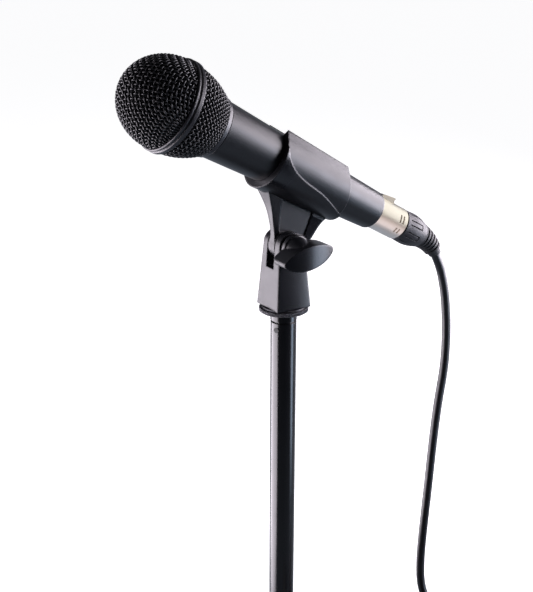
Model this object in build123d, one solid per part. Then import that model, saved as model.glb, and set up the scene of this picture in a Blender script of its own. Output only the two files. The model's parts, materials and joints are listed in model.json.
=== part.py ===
from build123d import *
import os
from math import cos, degrees, pi, radians, sin, tan

# Handheld dynamic vocal microphone in a swivel clip on a round-base table stand, with its XLR lead.
# Millimetres. The origin is the centre of the stand's underside, +Z is up, the microphone's axis
# lies in the XZ plane with its head towards -X, and the clip's wing knob is on the -Y side.

# ---------------------------------------------------------------- driving dimensions: stand
BASE_R = 65.0
BASE_T = 14.0
BASE_LIFT = 2.0
PAD_R = 62.0
PAD_SEAT = 0.8
BOSS_R = 13.0
BOSS_H = 5.0
TUBE_R = 7.4
TUBE_WALL = 1.5
HOLDER_Z = 250.0
STUD_R = 4.75
STUD_UP = 14.0
COLLAR_TOP = HOLDER_Z - 3.8
COLLAR_BOTTOM = HOLDER_Z - 8.6
WAIST_BOTTOM = HOLDER_Z - 9.8
TUBE_TOP = WAIST_BOTTOM
PIN_Z = HOLDER_Z - 13.5
PIN_ANGLE = 204.0
TUBE_SEAT = BASE_LIFT + BASE_T + BOSS_H - 9.0
BASE_BOLT_R = 4.0

# ---------------------------------------------------------------- driving dimensions: swivel holder
RING_R = 14.0
POST_HALF = 11.1
POST_HALF_AT_HINGE = 8.5
HINGE_H = 35.0
HINGE_Z = HOLDER_Z + HINGE_H
SLOT_HALF = 3.8
SLOT_BOTTOM = 23.0
ADAPTER_R = 7.9
ADAPTER_L = 16.0
BOLT_R = 2.5
TONGUE_R = 8.5
TONGUE_HALF = 3.2
WASHER_T = 0.5
WING_BACK = 10.9
WING_FRONT = 24.0
WING_TILT = 11.6
HUB_R = 8.2
HUB_STEP_R = 7.3
HUB_NOSE_R = 4.2
INSERT_R = 3.88
INSERT_L = 6.5

# ---------------------------------------------------------------- driving dimensions: microphone
# Stations are distances along the microphone's axis, from the foot of the perpendicular
# dropped from the holder's bottom centre; they grow towards the tail.
TILT = 28.85
AXIS_HEIGHT = 69.8
HEAD_TIP = -145.4
BAND_FRONT = -118.2
BAND_REAR = -113.4
BALL_R = 24.6
BAND_R = 25.4
CONE_REAR = -91.8
CONE_REAR_R = 17.4
HANDLE_FRONT = -89.1
HANDLE_REAR = 29.4
HANDLE_R_FRONT = 16.1
HANDLE_R_REAR = 11.15
MESH_T = 0.9
FOAM_GAP = 1.9
FOAM_T = 2.5
THREAD_R = 13.6
SOCKET_R = 8.1
INSERT_AT = (8.0, 13.0)
PIN_R = 1.18
PIN_CIRCLE = 4.5
PIN_ANGLES = (60.0, 180.0, 300.0)
CAPSULE_R = 12.0

# ---------------------------------------------------------------- driving dimensions: clip
CLIP_FRONT = -51.8
CLIP_REAR = -1.0
CLIP_REAR_SLANT = 14.0
CLIP_WALL = 2.9
CLIP_GAP = 0.06
LIP_ANGLE = 27.0
LIP_LEAN = 7.0
FLAT_ANGLE = 44.0
SADDLE_PROUD = 1.0
STEM_WEB_HALF = 1.4

# ---------------------------------------------------------------- driving dimensions: plug and lead
PLUG_R = 9.6
NOSE_R = 8.0
PLUG_FRONT = 13.6
PLUG_STEP = 29.7
PLUG_REAR = 51.3
BOOT_FRONT = 51.9
BOOT_REAR = 70.0
CABLE_D = 5.5
CABLE_R = CABLE_D / 2
BUSHING_LENGTH = 19.8
BUSHING_BEND = 32.0
BUSHING_RIBS = 6
COIL_CENTRE = (100.0, -54.0)
COIL_INNER = 24.5
COIL_OUTER = 41.5
COIL_HEIGHT = 22.0
TIE_T = 1.2
TIE_W = 14.0
END_Z = 9.8

# The lead's route: down from the plug, onto the table and into the coil's outermost turn.
DROP_ROUTE = [
    (108.9, 0.0, 263.5), (112.8, 0.0, 256.5), (115.9, 0.0, 248.0), (119.3, 0.0, 234.0),
    (122.0, 0.0, 211.0), (121.8, 0.0, 186.0), (118.0, 0.0, 163.0), (115.4, 0.0, 135.0),
    (113.4, 0.0, 104.0), (111.2, 0.0, 75.0), (109.9, 0.0, 50.5), (110.6, -0.9, 31.2),
    (114.0, -5.4, 18.0), (119.9, -13.4, 7.8), (126.2, -22.2, 2.75), (133.4, -34.4, 2.75),
]
# The lead's other end: off the coil's top turn and down to the second plug.
TAIL_ROUTE = [
    (98.0, -92.8, 19.25), (86.0, -93.2, 18.6), (72.0, -95.2, 13.6), (58.5, -97.4, 10.2),
    (46.0, -98.0, END_Z),
]

MIC_AXIS = (cos(radians(TILT)), 0.0, -sin(radians(TILT)))
MIC_UP = (sin(radians(TILT)), 0.0, cos(radians(TILT)))
MIC_FOOT = (AXIS_HEIGHT * MIC_UP[0], 0.0, HOLDER_Z + AXIS_HEIGHT * MIC_UP[2])
# Microphone frame: local Z runs along the axis to the tail, local X is up, local Y is the knob side.
MIC = Location(Plane(origin=MIC_FOOT, x_dir=MIC_UP, z_dir=MIC_AXIS))
END = Location(Plane(origin=TAIL_ROUTE[-1], x_dir=(0, 0, 1), z_dir=(-1, 0, 0)))
HINGE = Location(Plane(origin=(0, 0, HINGE_Z), x_dir=(1, 0, 0), z_dir=(0, -1, 0)))


def save(node, shape):
    export_step(shape, os.path.join("parts", node + ".step"))


def turned(outline):
    """Solid of revolution about Z from straight (radius, height) points."""
    return revolve(Plane.XZ * make_face(Polyline(*outline, close=True)), Axis.Z)


def turned_edges(*edges):
    """Solid of revolution about Z from connected (radius, height) edges."""
    return revolve(Plane.XZ * make_face(edges), Axis.Z)


def ring(inner, outer, low, high):
    return turned([(inner, low), (outer, low), (outer, high), (inner, high)])


def rod(radius, low, high):
    return Pos(0, 0, (low + high) / 2) * Cylinder(radius, high - low)


def handle_radius(station):
    share = (station - HANDLE_FRONT) / (HANDLE_REAR - HANDLE_FRONT)
    return HANDLE_R_FRONT + share * (HANDLE_R_REAR - HANDLE_R_FRONT)


def around(angles, radius):
    """Places at the given angles on a circle about Z."""
    return [Pos(radius * cos(radians(a)), radius * sin(radians(a)), 0) for a in angles]


# ---------------------------------------------------------------- stand

def base_plate():
    low = BASE_LIFT
    top = BASE_LIFT + BASE_T
    plate = turned([(0, low), (BASE_R - 1, low), (BASE_R, low + 1), (BASE_R, top - 5),
                    (BASE_R - 5, top), (BOSS_R + 3, top), (BOSS_R, top + 2),
                    (BOSS_R, top + BOSS_H), (0, top + BOSS_H)])
    plate -= rod(PAD_R + 0.1, low - 1, low + PAD_SEAT)
    plate -= rod(TUBE_R + 0.05, TUBE_SEAT, top + BOSS_H + 1)
    plate -= rod(BASE_BOLT_R + 0.2, low - 1, TUBE_SEAT + 1)
    plate -= rod(9.0, low - 1, low + 5.5)
    return plate


def base_foot_pad():
    """Rubber disc let into the underside; it covers the bolt's recess."""
    return rod(PAD_R, 0, BASE_LIFT + PAD_SEAT)


def base_bolt():
    head = extrude(Plane.XY.offset(BASE_LIFT + PAD_SEAT + 0.1) * RegularPolygon(6.9, 6), 3.4)
    shank = rod(BASE_BOLT_R, BASE_LIFT + 1, TUBE_SEAT + 14)
    return head + shank


def base_washer():
    return ring(BASE_BOLT_R + 0.2, 8.4, BASE_LIFT + 4.3, BASE_LIFT + 5.4)


def tube_plug():
    return ring(BASE_BOLT_R + 0.02, TUBE_R - TUBE_WALL - 0.02, TUBE_SEAT + 0.1, TUBE_SEAT + 18)


def stand_tube():
    tube = ring(TUBE_R - TUBE_WALL, TUBE_R, TUBE_SEAT + 0.1, TUBE_TOP)
    return tube - stud_pin_body(1.52)


def stud_pin_body(radius):
    pin = Rot(0, 90, 0) * Cylinder(radius, 2 * TUBE_R + 0.4)
    return Pos(0, 0, PIN_Z) * Rot(0, 0, PIN_ANGLE) * pin


def thread_stud():
    body = turned([(0, PIN_Z - 8), (TUBE_R - TUBE_WALL - 0.03, PIN_Z - 8),
                   (TUBE_R - TUBE_WALL - 0.03, TUBE_TOP), (TUBE_R - 1.0, TUBE_TOP),
                   (TUBE_R - 1.0, COLLAR_BOTTOM), (TUBE_R + 0.1, COLLAR_BOTTOM),
                   (TUBE_R + 0.1, COLLAR_TOP - 0.6), (TUBE_R - 0.5, COLLAR_TOP),
                   (STUD_R, COLLAR_TOP), (STUD_R, HOLDER_Z + STUD_UP - 1),
                   (STUD_R - 1, HOLDER_Z + STUD_UP), (0, HOLDER_Z + STUD_UP)])
    return body - stud_pin_body(1.52)


# ---------------------------------------------------------------- swivel holder

def lock_ring():
    low = COLLAR_TOP + 0.1
    top = HOLDER_Z - 0.15
    return turned([(STUD_R + 0.06, low), (RING_R - 1.2, low), (RING_R, low + 0.8),
                   (RING_R, top - 1.0), (RING_R - 0.5, top - 0.8), (RING_R - 1.6, top - 0.8),
                   (RING_R - 1.6, top), (STUD_R + 0.06, top)])


def post_outline_half(height):
    return POST_HALF + (POST_HALF_AT_HINGE - POST_HALF) * height / HINGE_H


def holder_post():
    top_half = post_outline_half(HINGE_H + POST_HALF_AT_HINGE)
    top_z = HOLDER_Z + HINGE_H + POST_HALF_AT_HINGE
    post = loft([Plane.XY.offset(HOLDER_Z) * RectangleRounded(2 * POST_HALF, 2 * POST_HALF, 0.8),
                 Plane.XY.offset(top_z) * RectangleRounded(2 * top_half, 2 * top_half, 0.8)])
    cap = HINGE * Cylinder(POST_HALF_AT_HINGE, 30)
    below = Pos(0, 0, HINGE_Z - 25) * Box(40, 40, 50)
    post = post & (below + cap)
    slot = Pos(0, 0, HOLDER_Z + SLOT_BOTTOM + 20) * Box(40, 2 * SLOT_HALF, 40)
    post -= slot
    post -= HINGE * Cylinder(BOLT_R + 0.1, 40)
    pocket = extrude(RegularPolygon(4.75, 6), 3.2)
    post -= Pos(0, 5.6, HINGE_Z) * Rot(-90, 0, 0) * pocket
    post -= rod(ADAPTER_R + 0.03, HOLDER_Z - 1, HOLDER_Z + ADAPTER_L + 2)
    return post


def thread_adapter():
    flange_top = HOLDER_Z + ADAPTER_L
    tube = ring(STUD_R + 0.06, ADAPTER_R, HOLDER_Z + 0.3, flange_top)
    slot = Pos(0, 0, HOLDER_Z + 0.8) * Box(2 * ADAPTER_R + 2, 1.6, 1.6)
    return tube - slot


def hinge_bolt():
    head = extrude(RegularPolygon(4.65, 6), 2.6)
    shank = Pos(0, 0, -12.5) * Cylinder(BOLT_R, 25.2)
    return Pos(0, 5.7, HINGE_Z) * Rot(-90, 0, 0) * (head + shank)


def friction_washers():
    disc = Cylinder(TONGUE_R - 1.2, WASHER_T) - Cylinder(BOLT_R + 0.2, 4)
    side = TONGUE_HALF + 0.03 + WASHER_T / 2
    near = HINGE * Pos(0, 0, side) * disc
    far = HINGE * Pos(0, 0, -side) * disc
    return Compound([near.solid(), far.solid()])


def wing_outline():
    """Leaf-shaped face of the wing: a shallow upper arc and a deeper belly that is full at the tip."""
    start = (-16.2, -0.8)
    end = (15.0, 0.0)
    upper = ThreePointArc(start, (-1.0, 3.9), end)
    lower = Spline(end, (16.2, -2.2), (13.4, -5.9), (6.0, -8.9), (-3.1, -9.0), (-10.6, -6.3), start)
    leaf = make_face([upper, lower])
    return Rot(0, 0, WING_TILT) * leaf


def wing_knob():
    """Hub against the fork and a thick leaf-shaped wing that narrows towards the hub."""
    hub_back = WING_BACK - 1.6
    hub = turned([(0, hub_back), (HUB_R - 0.8, hub_back), (HUB_R, hub_back + 0.8),
                  (HUB_R, WING_BACK + 1.6), (HUB_STEP_R, WING_BACK + 1.9),
                  (HUB_STEP_R, WING_BACK + 3.2), (HUB_NOSE_R, WING_FRONT - 3.6),
                  (0, WING_FRONT - 3.6)])
    wing = Pos(0, 0, WING_BACK + 0.6) * extrude(wing_outline(), WING_FRONT - WING_BACK - 0.6)
    lean = Rot(0, 0, WING_TILT)
    flare = loft([Pos(0, 0, WING_BACK - 1) * (lean * Rectangle(25, 19)),
                  Pos(0, 0, WING_BACK + 8.5) * (lean * Rectangle(40, 24))])
    full_width = Pos(0, 0, WING_BACK + 18.4) * Box(60, 60, 20)
    wing = wing & (flare + full_width)
    wing = fillet(wing.edges().filter_by(Axis.Z), 1.6)
    bore = rod(INSERT_R + 0.02, hub_back - 1, hub_back + INSERT_L + 0.1)
    bore += rod(BOLT_R + 0.1, hub_back, WING_BACK + 9)
    return HINGE * (wing + hub - bore)


def knob_insert():
    low = WING_BACK - 1.5
    return HINGE * ring(BOLT_R + 0.06, INSERT_R, low, low + INSERT_L)


# ---------------------------------------------------------------- clip

def clip_section(station, outer):
    """C-shaped cross-section, open at the top, with flat strips that lean in along both lips."""
    inner = handle_radius(station) + CLIP_GAP
    a = radians(FLAT_ANGLE)
    lip = radians(LIP_ANGLE)
    side = (outer * cos(a), outer * sin(a))
    reach = outer * tan(a - lip) * 0.92
    lean = a + radians(LIP_LEAN)
    tip = (side[0] + reach * sin(lean), side[1] - reach * cos(lean))
    edge = (inner * cos(lip), inner * sin(lip))
    mirror = [(x, -y) for x, y in (side, tip, edge)]
    face = make_face([
        ThreePointArc(side, (-outer, 0), mirror[0]),
        Line(mirror[0], mirror[1]), Line(mirror[1], mirror[2]),
        ThreePointArc(mirror[2], (-inner, 0), edge),
        Line(edge, tip), Line(tip, side)])
    return Plane.XY.offset(station) * face


def clip_outer(station):
    return handle_radius(station) + CLIP_WALL + 0.1


def saddle_region():
    """Side view of the thicker saddle: below an S-shaped edge from the front lip to the rear rim."""
    edge = Spline((11.5, -52.4), (2.6, -48.6), (-4.2, -33.5), (-6.0, -19.5), (-10.0, -3.5), (-12.6, 6))
    close = Polyline((-12.6, 6), (-24, 8), (-24, -54), (11.5, -54), (11.5, -52.4))
    face = make_face([*edge.edges(), *close.edges()])
    return extrude(Plane.XZ * face, 30, both=True)


def stem_side():
    """Side view of the stem in the XZ plane, from the tongue up into the saddle."""
    hinge = (0.0, HINGE_H)
    face = make_face([
        Spline((-TONGUE_R + 0.1, HINGE_H + 1), (-7.9, 44.0), (-8.8, 50.0), (-10.0, 56.0),
               (-12.3, 63.0), (-15.0, 69.6), (-17.6, 74.0)),
        Polyline((-17.6, 74.0), (0, 72), (44, 52), (29.0, 47.6)),
        Spline((29.0, 47.6), (24.4, 45.3), (20.8, 42.0), (17.4, 37.9), (13.2, 33.8),
               (6.5, HINGE_H - 5.4)),
        Line((6.5, HINGE_H - 5.4), hinge), Line(hinge, (-TONGUE_R + 0.1, HINGE_H + 1))])
    return Pos(0, 0, HOLDER_Z) * extrude(Plane.XZ * face, 20, both=True)


def stem_front():
    """Front view of the stem: narrow at the tongue, flaring where it meets the saddle."""
    flare = [(2.9, 28), (2.5, 37), (2.0, 44), (2.2, 50), (3.0, 56), (4.7, 63), (7.2, 70), (8.8, 74)]
    right = Spline(*flare)
    left = Spline(*[(-half, height) for half, height in reversed(flare)])
    face = make_face([right, Line((8.8, 74), (-8.8, 74)), left, Line((-2.9, 28), (2.9, 28))])
    return Pos(0, 0, HOLDER_Z) * extrude(Plane.YZ * face, 60, both=True)


def stem_panel():
    """Recess in the knob side of the stem, leaving ribs along its front and rear edges."""
    face = make_face(Polyline((-3.9, 62.4), (17.4, 51.2), (12.4, 38.8), (-4.3, 43.2), close=True))
    return Pos(0, -STEM_WEB_HALF, HOLDER_Z) * extrude(Plane.XZ * face, 10)


def clip_cradle():
    front = clip_section(CLIP_FRONT, clip_outer(CLIP_FRONT))
    rear = clip_section(CLIP_REAR + 8, clip_outer(CLIP_REAR + 8))
    sleeve = loft([front, rear], ruled=True)
    thick = turned([(0, CLIP_FRONT), (clip_outer(CLIP_FRONT) + SADDLE_PROUD, CLIP_FRONT),
                    (clip_outer(8) + SADDLE_PROUD, 8), (0, 8)])
    saddle = thick & saddle_region()
    stem = stem_side() & stem_front()
    tongue = HINGE * Cylinder(TONGUE_R, 2 * TONGUE_HALF)
    body = MIC * (sleeve + saddle) + stem + tongue
    bore = turned([(0, -60), (handle_radius(-60) + CLIP_GAP, -60),
                   (handle_radius(15) + CLIP_GAP, 15), (0, 15)])
    body -= MIC * bore
    trim = Pos(0, 0, CLIP_REAR) * Rot(0, CLIP_REAR_SLANT, 0) * Pos(0, 0, 30) * Box(60, 60, 60)
    body -= MIC * trim
    body -= HINGE * Cylinder(BOLT_R + 0.06, 40)
    body -= stem_panel()
    body -= mirror(stem_panel(), Plane.XZ)
    return body


# ---------------------------------------------------------------- grille head

def dome(radius, length, base):
    """Solid half-ellipsoid whose flat side is at the given station."""
    ball = scale(Sphere(radius), by=(1, 1, length / radius))
    return Pos(0, 0, base) * (ball & Pos(0, 0, -length) * Box(3 * radius, 3 * radius, 2 * length))


def grille_front():
    depth = BAND_FRONT - HEAD_TIP
    shell = dome(BALL_R, depth, BAND_FRONT) - dome(BALL_R - MESH_T, depth - MESH_T, BAND_FRONT)
    return MIC * shell


def grille_band():
    front = BAND_FRONT
    rear = BAND_REAR
    return MIC * turned([(BALL_R - 1.8, front), (BAND_R - 0.5, front), (BAND_R - 0.1, front + 0.4),
                         (BAND_R - 0.1, front + 1.1), (BAND_R - 0.7, front + 1.5),
                         (BAND_R - 0.7, front + 2.1), (BAND_R, front + 2.5), (BAND_R, rear - 0.5),
                         (BAND_R - 0.6, rear), (BALL_R - 1.8, rear)])


def grille_rear():
    outer = ThreePointArc((BALL_R - 0.2, BAND_REAR), (22.6, -102.6), (CONE_REAR_R, CONE_REAR))
    inner = ThreePointArc((BALL_R - 0.2 - MESH_T, BAND_REAR), (21.7, -102.9),
                          (CONE_REAR_R - MESH_T, CONE_REAR))
    return MIC * turned_edges(outer, Line(outer @ 1, inner @ 1), inner, Line(inner @ 0, outer @ 0))


def grille_collar():
    return MIC * turned([(12.5, CONE_REAR), (CONE_REAR_R - 0.2, CONE_REAR), (16.9, HANDLE_FRONT - 0.5),
                         (16.4, HANDLE_FRONT - 0.15), (THREAD_R, HANDLE_FRONT - 0.15),
                         (THREAD_R, HANDLE_FRONT + 8), (12.5, HANDLE_FRONT + 8)])


def foam_liner():
    """Foam lining: a dome in the front mesh, a belt behind the band and a cone in the rear mesh."""
    outer_r = BALL_R - FOAM_GAP
    inner_r = outer_r - FOAM_T
    depth = BAND_FRONT - HEAD_TIP - FOAM_GAP + 0.2
    shell = dome(outer_r, depth, BAND_FRONT) - dome(inner_r, depth - FOAM_T, BAND_FRONT)
    belt = ring(inner_r, outer_r, BAND_FRONT, BAND_REAR)
    outer = ThreePointArc((outer_r, BAND_REAR), (20.7, -102.9), (15.8, CONE_REAR - 0.4))
    inner = ThreePointArc((inner_r, BAND_REAR), (18.2, -103.3), (13.4, CONE_REAR - 0.4))
    cone = turned_edges(outer, Line(outer @ 1, inner @ 1), inner, Line(inner @ 0, outer @ 0))
    return MIC * (shell + belt + cone)


# ---------------------------------------------------------------- capsule

def capsule_cap():
    cap = turned([(0, -127), (9.5, -126.4), (CAPSULE_R, -124.6), (CAPSULE_R, -122.6),
                  (11.2, -122.6), (11.2, -124.2), (9.2, -125.6), (0, -126.1)])
    for place in around(range(0, 360, 45), 6.4):
        cap -= place * Pos(0, 0, -126) * Cylinder(1.1, 6)
    return MIC * cap


def diaphragm():
    return MIC * turned([(0, -123.2), (3.2, -122.8), (6.2, -121.4), (10.9, -122.0), (10.9, -121.75),
                         (6.2, -121.15), (3.2, -122.5), (0, -122.9)])


def voice_coil():
    return MIC * ring(5.8, 6.25, -121.1, -117.6)


def pole_piece():
    return MIC * ring(1.2, 5.5, -120.6, -117.0)


def magnet():
    return MIC * ring(1.2, 5.2, -117.0, -107.5)


def magnet_cup():
    return MIC * turned([(1.2, -107.5), (7.6, -107.5), (7.6, -117.6), (6.6, -117.9), (6.6, -120.6),
                         (10.6, -120.6), (10.6, -104.5), (1.2, -104.5)])


def capsule_shell():
    return MIC * turned([(10.7, -121.7), (10.95, -121.7), (10.95, -122.5), (CAPSULE_R, -122.5),
                         (CAPSULE_R, -98.0), (9.0, -94.0), (9.0, -70.5), (8.0, -70.5),
                         (8.0, -93.0), (9.5, -96.5), (9.5, -104.4), (10.7, -104.4)])


def shock_mount():
    return MIC * turned([(9.04, -80.6), (11.2, -80.6), (11.6, -79.0), (13.55, -79.0), (13.55, -73.6),
                         (11.6, -73.6), (11.2, -72.4), (9.04, -72.4)])


# ---------------------------------------------------------------- handle

def handle():
    wall_front = THREAD_R + 0.06
    outer = [(wall_front, HANDLE_FRONT), (HANDLE_R_FRONT - 0.3, HANDLE_FRONT),
             (HANDLE_R_FRONT, HANDLE_FRONT + 0.4)]
    tail = [(HANDLE_R_REAR + 0.04, HANDLE_REAR - 1.1), (HANDLE_R_REAR - 0.26, HANDLE_REAR - 0.3),
            (HANDLE_R_REAR - 1.0, HANDLE_REAR), (SOCKET_R + 0.5, HANDLE_REAR),
            (SOCKET_R, HANDLE_REAR - 0.5)]
    inside = [(SOCKET_R, 5.0), (9.4, 2.0), (9.4, -22.0), (10.6, -26.0), (10.6, -70.0),
              (wall_front, -71.0)]
    body = turned(outer + tail + inside)
    screw_hole = Pos(0, -10, 10.5) * Rot(90, 0, 0) * Cylinder(1.3, 8)
    return MIC * (body - screw_hole)


def socket_insert():
    disc = rod(SOCKET_R - 0.02, *INSERT_AT)
    rim = ring(SOCKET_R - 1.0, SOCKET_R - 0.02, INSERT_AT[1] - 0.1, INSERT_AT[1] + 0.6)
    body = disc + rim
    for place in around(PIN_ANGLES, PIN_CIRCLE):
        body -= place * Pos(0, 0, 10) * Cylinder(PIN_R + 0.01, 20)
    body -= Pos(0, -7, 10.5) * Rot(90, 0, 0) * Cylinder(1.3, 4)
    return MIC * body


def pin_group(low, high):
    pins = []
    for place in around(PIN_ANGLES, PIN_CIRCLE):
        pin = turned([(0, low), (PIN_R, low), (PIN_R, high - 0.8), (0.5, high), (0, high)])
        pins.append((place * pin).solid())
    return pins


def socket_pins():
    return Compound([MIC * pin for pin in pin_group(5.5, 26.5)])


def socket_screw():
    screw = Pos(0, -8.0, 10.5) * Rot(90, 0, 0) * Cylinder(1.25, 5.6)
    slot = Pos(0, -10.8, 10.5) * Box(0.5, 1.0, 4)
    return MIC * (screw - slot)


def capsule_leads():
    path_r = 0.55
    leads = [Pos(offset, 0, (-70 + 5.2) / 2) * Cylinder(path_r, 75.2) for offset in (-2.2, 2.2)]
    return Compound([MIC * lead.solid() for lead in leads])


# ---------------------------------------------------------------- plug on the microphone

def arc_slot(station, start, end, depth, width=1.0):
    """Shallow groove around part of the plug's shell."""
    groove = ring(PLUG_R - depth, PLUG_R + 1, station - width / 2, station + width / 2)
    middle = radians((start + end) / 2)
    half = radians((end - start) / 2)
    far = 20.0
    wedge = make_face(Polyline((0, 0), (far * cos(middle - half), far * sin(middle - half)),
                               (far * cos(middle) * 1.3, far * sin(middle) * 1.3),
                               (far * cos(middle + half), far * sin(middle + half)), close=True))
    return groove & (Pos(0, 0, station - 2) * extrude(wedge, 4))


def plug_shell():
    shell = turned([(7.2, PLUG_FRONT), (NOSE_R - 0.4, PLUG_FRONT), (NOSE_R, PLUG_FRONT + 0.4),
                    (NOSE_R, PLUG_STEP), (PLUG_R - 0.4, PLUG_STEP), (PLUG_R, PLUG_STEP + 0.4),
                    (PLUG_R, PLUG_REAR - 0.4), (PLUG_R - 0.4, PLUG_REAR), (7.2, PLUG_REAR)])
    for sign in (1, -1):
        for start, end in ((60, 89), (109, 128)):
            for station in (45.2, 47.6):
                low, high = sorted((sign * start, sign * end))
                shell -= arc_slot(station, low, high, 0.7)
    window = Pos(PLUG_R - 1.0, 0, 35.6) * Box(4.4, 6.4, 11.6)
    return MIC * (shell - window)


def plug_latch():
    side = make_face(Polyline((8.5, 30.3), (10.9, 30.3), (11.7, 34.0), (12.3, 40.6), (9.9, 40.2),
                              (9.4, 41.0), (8.5, 41.0), close=True))
    lever = extrude(Plane.XZ * side, 3.0, both=True)
    return MIC * fillet(lever.edges().filter_by(Axis.Y).group_by(Axis.X)[-1], 0.3)


def plug_insert():
    body = rod(7.15, PLUG_FRONT + 0.4, 40)
    for place in around(PIN_ANGLES, PIN_CIRCLE):
        body -= place * Pos(0, 0, 26) * Cylinder(1.78, 40)
    return MIC * body


def plug_contacts():
    contacts = []
    for place in around(PIN_ANGLES, PIN_CIRCLE):
        tube = turned([(PIN_R + 0.07, 14.4), (1.75, 14.4), (1.75, 44), (0, 44), (0, 29),
                       (PIN_R + 0.07, 29)])
        contacts.append(MIC * (place * tube).solid())
    return Compound(contacts)


def plug_chuck():
    body = turned([(CABLE_R + 0.03, 52), (7.6, 52), (7.6, 58), (5.6, 66), (CABLE_R + 0.03, 66)])
    for angle in (0, 90):
        body -= Rot(0, 0, angle) * Pos(0, 0, 61) * Box(18, 1.0, 12)
    return MIC * body


def plug_boot_body():
    """Tapered back shell with recessed grip pads, ending in a plain ring."""
    outer = Spline((9.3, BOOT_FRONT + 0.3), (9.6, 57.0), (9.65, 61.5), (8.9, 66.0), (7.75, BOOT_REAR))
    rest = Polyline((7.75, BOOT_REAR), (3.1, BOOT_REAR), (3.1, 66.6), (6.4, 66.6), (7.8, 60.0),
                    (7.8, BOOT_FRONT), (9.0, BOOT_FRONT), (9.3, BOOT_FRONT + 0.3))
    body = turned_edges(*outer.edges(), *rest.edges())
    pad_outer = Pos(9.6, 0, 59.4) * Box(2.0, 3.6, 10.4)
    pad_inner = Pos(9.6, 0, 58.8) * Box(3.0, 2.2, 10.0)
    frame = pad_outer - pad_inner
    for index in range(8):
        body -= Rot(0, 0, 22.5 + 45 * index) * frame
    return body


def plug_boot():
    return MIC * plug_boot_body()


def bushing_frames(bend, length, count):
    """Frames along the bushing's bent centre line, from its seat to its end."""
    frames = []
    for index in range(count + 1):
        share = index / count
        turn = radians(bend * share)
        if bend:
            radius = length / radians(bend)
            along = radius * sin(turn)
            aside = -radius * (1 - cos(turn))
        else:
            along = length * share
            aside = 0.0
        frames.append(Pos(aside, 0, along) * Rot(0, -degrees(turn), 0))
    return frames


def bushing_body(bend):
    """Ribbed rubber strain relief, bent by the lead's weight."""
    count = 2 * BUSHING_RIBS + 2
    frames = bushing_frames(bend, BUSHING_LENGTH, count)
    core = loft([frame * Circle(6.3 - 2.5 * index / count) for index, frame in enumerate(frames)])
    step = BUSHING_LENGTH / count
    for index in range(BUSHING_RIBS):
        radius = 7.4 - 2.0 * index / (BUSHING_RIBS - 1)
        rib = Pos(0, 0, step / 2) * Cylinder(radius, step)
        core += frames[2 * index] * rib
    return core


def bushing_bore(bend, radius):
    """Swept rod along the bushing's centre line."""
    frames = bushing_frames(bend, BUSHING_LENGTH, 4)
    return loft([frame * Circle(radius) for frame in frames])


def plug_bushing():
    body = bushing_body(BUSHING_BEND) - bushing_bore(BUSHING_BEND, CABLE_R + 0.05)
    return MIC * Pos(0, 0, BOOT_REAR + 0.1) * body


def cable_end():
    """The lead's end inside the plug, through the chuck and the bushing."""
    stub = rod(CABLE_R, 50, BOOT_REAR + 0.1)
    bent = Pos(0, 0, BOOT_REAR + 0.1) * bushing_bore(BUSHING_BEND, CABLE_R)
    return MIC * (stub + bent)


# ---------------------------------------------------------------- lead

def route_radii(route):
    """Arc radius at each inner corner: as large as its two runs allow."""
    radii = []
    for before, corner, after in zip(route, route[1:], route[2:]):
        arriving = Vector(*corner) - Vector(*before)
        leaving = Vector(*after) - Vector(*corner)
        turn = arriving.get_angle(leaving)
        radii.append(0.45 * min(arriving.length, leaving.length) / tan(radians(turn / 2)))
    return radii


def lead_tube(name, route):
    radii = route_radii(route)
    path = FilletPolyline(*route, radius=radii)
    start = Plane(origin=path @ 0, z_dir=path % 0)
    tube = sweep(start * Circle(CABLE_R), path=path)
    expected = pi * CABLE_R ** 2 * path.length
    print(name, "radii", [round(r) for r in radii], "length", round(path.length, 1),
          "volume ratio", round(tube.volume / expected, 4))
    return tube


def cable_coil():
    face = Pos((COIL_INNER + COIL_OUTER) / 2, COIL_HEIGHT / 2) * RectangleRounded(
        COIL_OUTER - COIL_INNER, COIL_HEIGHT, 2.7)
    return Pos(*COIL_CENTRE, 0) * revolve(Plane.XZ * face, Axis.Z)


def coil_tie():
    """Strap around the coil's bundle, on the side away from the stand's tube."""
    middle = (COIL_INNER + COIL_OUTER) / 2
    width = COIL_OUTER - COIL_INNER + 2 * TIE_T
    outer = Pos(middle, 0, COIL_HEIGHT / 2 + TIE_T / 2) * Box(width, TIE_W, COIL_HEIGHT + TIE_T)
    inner = Pos(middle, 0, COIL_HEIGHT / 2 + TIE_T / 2) * Box(
        width - 2 * TIE_T, TIE_W + 2, COIL_HEIGHT - TIE_T)
    return Pos(*COIL_CENTRE, 0) * Rot(0, 0, 200) * (outer - inner)


# ---------------------------------------------------------------- plug on the lead's other end

END_BOOT = BUSHING_LENGTH
END_SHELL = END_BOOT + 18.4
END_MOUTH = END_SHELL + 37.0


def end_bushing():
    body = bushing_body(0) - rod(CABLE_R + 0.05, -1, BUSHING_LENGTH + 1)
    flip = Pos(0, 0, BUSHING_LENGTH) * Rot(180, 0, 0)
    return END * flip * body


def end_boot():
    flip = Pos(0, 0, END_BOOT + BOOT_REAR + 0.1) * Rot(180, 0, 0)
    return END * flip * plug_boot_body()


def end_shell():
    shell = turned([(7.2, END_SHELL), (PLUG_R - 0.4, END_SHELL), (PLUG_R, END_SHELL + 0.4),
                    (PLUG_R, END_MOUTH - 0.4), (PLUG_R - 0.4, END_MOUTH), (SOCKET_R, END_MOUTH),
                    (SOCKET_R, END_MOUTH - 22), (7.2, END_MOUTH - 22)])
    return END * shell


def end_insert():
    disc = rod(SOCKET_R - 0.02, END_MOUTH - 21.9, END_MOUTH - 16.5)
    for place in around(PIN_ANGLES, PIN_CIRCLE):
        disc -= place * Pos(0, 0, END_MOUTH - 18) * Cylinder(PIN_R + 0.01, 20)
    return END * disc


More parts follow.
